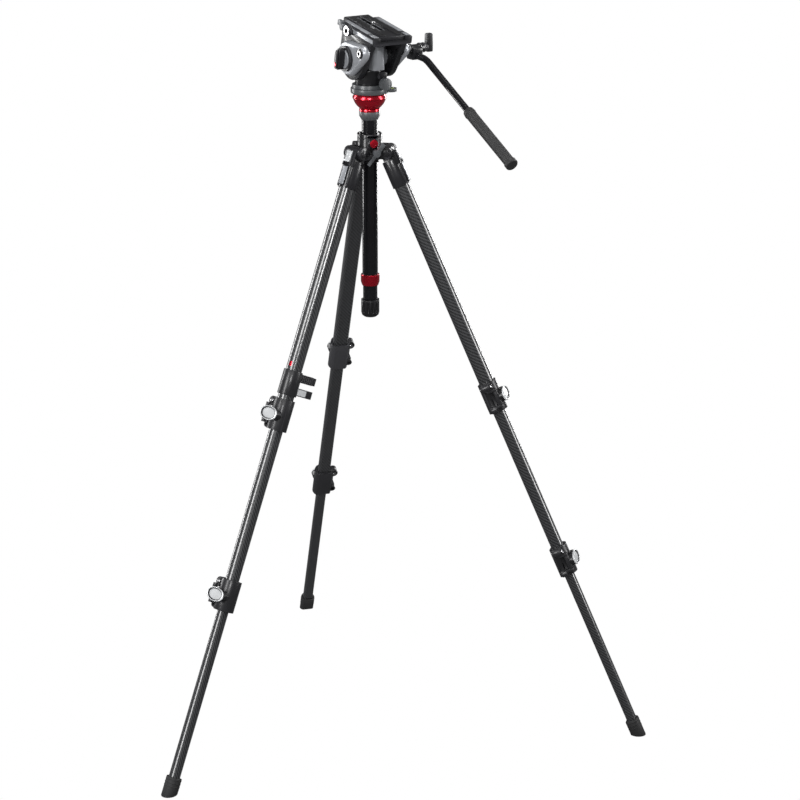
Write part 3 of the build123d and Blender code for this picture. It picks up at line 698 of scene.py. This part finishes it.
def platform_strips():
    """Light strips along both sides of the camera platform."""
    work = bmesh.new()
    for top, edge in zip(both_sides(STRIP_IN, STRIP_OUT), both_sides(EDGE_IN, EDGE_OUT)):
        for span in STRIP_SPANS:
            box(work, TILTING, *top, *span, STRIP_LOW, STRIP_HIGH)
        box(work, TILTING, *edge, EDGE_BACK, EDGE_FRONT, EDGE_BOTTOM, EDGE_TOP)
    new_piece("platform_strips", work, "tilt_block", M["light_grey"], 0.3, 2)


SOCKET_Y, SOCKET_Z = 8, 47.8
ROSETTE_Y, ROSETTE_Z = -43, 22
# Toothed collars: inner and outer radius, both ends along the axis, number of teeth and their depth
SOCKET_COLLAR = (6.6, 9.0, -47.2, -40.5, 22, 0.5)
LOCK_GUARD = (18.3, 22.6, -53.4, -47.0, 48, 0.3)
SOCKET_RING = [(4.9, -44), (4.9, -47.6), (5.4, -48.0), (6.2, -48.0), (6.6, -47.5), (6.6, -44)]
ROSETTE_RING = [(3.3, -49.4), (3.3, -50.4), (3.8, -50.9), (5.6, -50.9), (6.1, -50.4), (6.1, -49.4)]
LOCK_SKIRT = [(0, -50.5), (16.6, -50.5), (17.0, -51.0), (17.0, -54.0), (16.2, -54.9), (13.6, -54.9),
              (13.0, -54.2), (0, -54.2)]
# Stacked ovals of the tilt lock's bar: width, length, squareness, and both ends along the axis
LOCK_BAR = ((12, 38, 3.2, -66, -53.5), (10, 34, 2.6, -69.6, -65.9))
DOT_DROP = -9
DOT = [(3.4, -69.2), (3.4, -69.9), (2.8, -70.0), (0, -70.0)]


def left_rings():
    """Toothed collar and steel ring of the accessory socket, and the ring of the left rosette."""
    socket = TILTING @ at(0, SOCKET_Y, SOCKET_Z) @ along("x")
    work = bmesh.new()
    ridged_ring(work, socket, *SOCKET_COLLAR)
    new_piece("socket_collar", work, "tilt_block", M["plastic"])
    work = bmesh.new()
    lathe(work, socket, SOCKET_RING)
    new_piece("socket_ring", work, "tilt_block", M["steel"])
    work = bmesh.new()
    lathe(work, TILTING @ at(0, ROSETTE_Y, ROSETTE_Z) @ along("x"), ROSETTE_RING)
    new_piece("rosette_ring_left", work, "tilt_block", M["steel"])


def tilt_lock():
    """Skirt, bar and red dot of the tilt lock, and the toothed guard round it."""
    knob = TILTING @ along("x")
    work = bmesh.new()
    lathe(work, knob, LOCK_SKIRT)
    new_piece("tilt_lock_skirt", work, "tilt_lock", M["light_grey"])
    work = bmesh.new()
    ridged_ring(work, knob, *LOCK_GUARD)
    new_piece("tilt_lock_guard", work, "tilt_block", M["plastic"], 0.3, 1)
    work = bmesh.new()
    for wide, tall, power, low, high in LOCK_BAR:
        slab(work, knob, oval(wide, tall, power=power), low, high)
    new_piece("tilt_lock_bar", work, "tilt_lock", M["plastic"], 1.2, 3)
    work = bmesh.new()
    lathe(work, knob @ at(0, DOT_DROP, 0), DOT)
    piece = new_piece("tilt_lock_dot", work, "tilt_lock", M["red"])
    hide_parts("tilt_lock_knob")


plate_details()
platform_strips()
left_rings()
tilt_lock()


# ---------------------------------------------------------------- bubble level

VIAL_REACH = 37  # of the vial from the column's axis
VIAL = [(7.4, -0.9), (6.4, 0.1), (3.5, 0.55), (0, 0.7)]
BUBBLE = [(2.5, 0.66), (2.9, 0.75), (3.1, 0.6)]


def vial_material():
    """Greenish liquid of the bubble level."""
    material, nodes, links, shader, coords = new_material("vial_liquid")
    cloud = noise(nodes, links, coords, 80.0)
    tone = ramp(nodes, links, cloud, NOISE_LOW, NOISE_HIGH, (0.35, 0.5, 0.12), (0.5, 0.62, 0.2))
    links.new(tone, shader.inputs["Base Color"])
    shader.inputs["Roughness"].default_value = 0.08
    shader.inputs["Coat Weight"].default_value = 1.0
    return material


def bubble_vial():
    """Vial of the bubble level in its tab."""
    low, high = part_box("bubble_level")
    outward = Vector((low.x + high.x, low.y + high.y, 0)).normalized()
    place = Matrix.Translation((outward.x * VIAL_REACH * MM, outward.y * VIAL_REACH * MM, high.z))
    work = bmesh.new()
    lathe(work, place, VIAL)
    new_piece("bubble_vial", work, BODY_OF["bubble_level"], vial_material())
    work = bmesh.new()
    lathe(work, place, BUBBLE)
    new_piece("bubble_ring", work, BODY_OF["bubble_level"], M["casting"])


bubble_vial()


# ---------------------------------------------------------------- shoulder and column

BADGE_FRONT, BADGE_HEIGHT = -29, 1099
BADGE = [(7.3, 1.5), (7.3, -0.3), (6.8, -0.9), (4.5, -1.5), (0, -1.8)]
COLLAR_HIGH, COLLAR_MIDDLE, DIP_R, DIP_DEPTH = 1113, 20.3, 12.5, 8
RIM_HALF_WIDE, RIM_HALF_TALL, RIM_SINK = 2.15, 1.9, 0.6
RIM_AROUND, RIM_SECTION = 180, 10
RIM_SMOOTHING = 7  # degrees each way over which the rim's height is averaged


def badge():
    """Plain domed badge on the front of the shoulder."""
    work = bmesh.new()
    lathe(work, at(0, BADGE_FRONT, BADGE_HEIGHT) @ along("y"), BADGE)
    new_piece("front_badge", work, "shoulder", M["red"])


def rim_height(turn):
    """Height of the collar's rim at an angle round the column, in mm."""
    third = 2 * math.pi / len(LEGS)
    across = COLLAR_MIDDLE * math.sin((turn + 3 * third / 4) % third - third / 2)
    dip = COLLAR_HIGH + DIP_R - DIP_DEPTH - math.sqrt(DIP_R ** 2 - min(DIP_R, abs(across)) ** 2)
    return min(COLLAR_HIGH, dip)


def collar_rim():
    """Rolled rim that rises over the legs and dips between them."""
    work = bmesh.new()
    section = circle(1, RIM_SECTION)
    rings = []
    for step in range(RIM_AROUND):
        turn = 2 * math.pi * step / RIM_AROUND
        near = [rim_height(turn + math.radians(k)) for k in range(-RIM_SMOOTHING, RIM_SMOOTHING + 1)]
        middle = sum(near) / len(near) - RIM_SINK
        ring = []
        for out, up in section:
            radius = COLLAR_MIDDLE + RIM_HALF_WIDE * out
            ring += ring_of(work, WORLD, [(radius * math.cos(turn), radius * math.sin(turn))],
                            middle + RIM_HALF_TALL * up)
        rings.append(ring)
    for step, ring in enumerate(rings):
        join(work, rings[(step + 1) % RIM_AROUND], ring)
    new_piece("collar_rim", work, "shoulder", M["casting"])


FOOT_RING = [(14.06, 835.2), (15.0, 835.2), (16.6, 840.6), (17.0, 841.4), (17.0, 854.2), (16.4, 855),
             (14.06, 855)]
CUP_RING = [(17.3, 1157.9), (18.1, 1158), (18.4, 1157.3), (18.4, 1153.6), (18.0, 1153.0), (10, 1153.0)]
LEVEL_RIM = [(0, 1185.9), (26.5, 1185.9), (27.2, 1185.2), (30.4, 1178.6), (30.4, 1177.6), (29.4, 1177.2),
             (0, 1177.2)]
LEVEL_SEAM = [(29.0, 1177.3), (29.0, 1176.0), (29.6, 1175.6)]


def column_details():
    """Red rings and levelling plate of the column with turned edges, and the seam of the levelling ball."""
    turned = (("column_red_rings", "column_rings", (FOOT_RING, CUP_RING)),
              ("level_plate_rim", "level_plate", (LEVEL_RIM,)))
    for name, node, profiles in turned:
        work = bmesh.new()
        for profile in profiles:
            lathe(work, WORLD, profile)
        piece = new_piece(name, work, BODY_OF[node], M["red"])
        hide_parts(node)
    work = bmesh.new()
    lathe(work, WORLD, LEVEL_SEAM)
    new_piece("level_seam", work, BODY_OF["level_plate"], M["casting"])


badge()
collar_rim()
column_details()


# ---------------------------------------------------------------- stage, light and camera

WHITE = (1.0, 1.0, 1.0)
FLOOR_R, FLOOR_DROP, DOME_R = 14, 0.0006, 13.9  # metres
AIR, AIR_STRENGTH = (0.95, 0.955, 0.96, 1), 0.12
LENS, SENSOR, FAR = 110, 36, 200
CAMERA_PLACE, CAMERA_AIM = (-1.145, -4.128, 1.979), (0.052, -0.0144, 0.615)


def glow(name, colour, strength):
    """Evenly lit studio surface."""
    material, _, _, shader, _ = new_material(name)
    shader.inputs["Base Color"].default_value = (0, 0, 0, 1)
    shader.inputs["Specular IOR Level"].default_value = 0.0
    shader.inputs["Emission Color"].default_value = (*colour, 1)
    shader.inputs["Emission Strength"].default_value = strength
    return material


def studio_piece(name, work, material, lights):
    """Piece of the studio, kept out of the reflections."""
    mesh = bpy.data.meshes.new(name)
    work.to_mesh(mesh)
    work.free()
    piece = bpy.data.objects.new(name, mesh)
    bpy.context.scene.collection.objects.link(piece)
    piece.visible_glossy = False
    piece.visible_diffuse = lights
    piece.visible_shadow = lights
    paint(piece, material)


def backdrop():
    """White floor, and a white dome that only the camera sees."""
    work = bmesh.new()
    level = Matrix.Translation((0, 0, -FLOOR_DROP))
    bmesh.ops.create_circle(work, cap_ends=True, segments=96, radius=FLOOR_R, matrix=level)
    studio_piece("floor", work, glow("floor_paint", WHITE, 1.0), True)
    work = bmesh.new()
    bmesh.ops.create_uvsphere(work, u_segments=64, v_segments=32, radius=DOME_R)
    studio_piece("dome", work, glow("dome_paint", WHITE, 1.0), False)


def aimed(name, data, place, target):
    """Object of a lamp or camera that looks at a point."""
    thing = bpy.data.objects.new(name, data)
    thing.location = place
    thing.rotation_euler = (Vector(target) - Vector(place)).to_track_quat("-Z", "Y").to_euler()
    bpy.context.scene.collection.objects.link(thing)
    return thing


def softbox(name, place, target, wide, tall, power):
    """Rectangular area light aimed at a point."""
    light = bpy.data.lights.new(name, "AREA")
    light.shape = "RECTANGLE"
    light.size = wide
    light.size_y = tall
    light.energy = power
    aimed(name, light, place, target)


def stage():
    """White surroundings, dim studio air and the softboxes."""
    backdrop()
    world = bpy.data.worlds.new("studio")
    world.use_nodes = True
    world.node_tree.nodes["Background"].inputs["Color"].default_value = AIR
    world.node_tree.nodes["Background"].inputs["Strength"].default_value = AIR_STRENGTH
    bpy.context.scene.world = world
    softbox("key_light", (-3.4, -2.0, 2.2), (0, 0, 0.9), 1.2, 2.8, 150)
    softbox("side_light", (3.4, -1.2, 2.0), (0, 0, 0.9), 0.8, 2.8, 100)
    softbox("left_rim", (-2.4, 2.4, 1.4), (0, 0, 0.8), 0.4, 2.6, 60)
    softbox("right_rim", (2.6, 2.2, 1.4), (0, 0, 0.8), 0.4, 2.6, 60)
    softbox("front_light", (-1.6, -5.6, 3.4), (0, 0, 0.9), 1.2, 1.2, 150)
    softbox("top_light", (0.2, -0.6, 3.8), (0, 0, 1.0), 1.4, 1.4, 70)
    bpy.context.scene.view_settings.view_transform = "Standard"


def camera():
    """Camera at the studio picture's angle."""
    data = bpy.data.cameras.new("camera")
    data.lens = LENS
    data.sensor_width = SENSOR
    data.clip_end = FAR
    bpy.context.scene.camera = aimed("camera", data, CAMERA_PLACE, CAMERA_AIM)


stage()
camera()
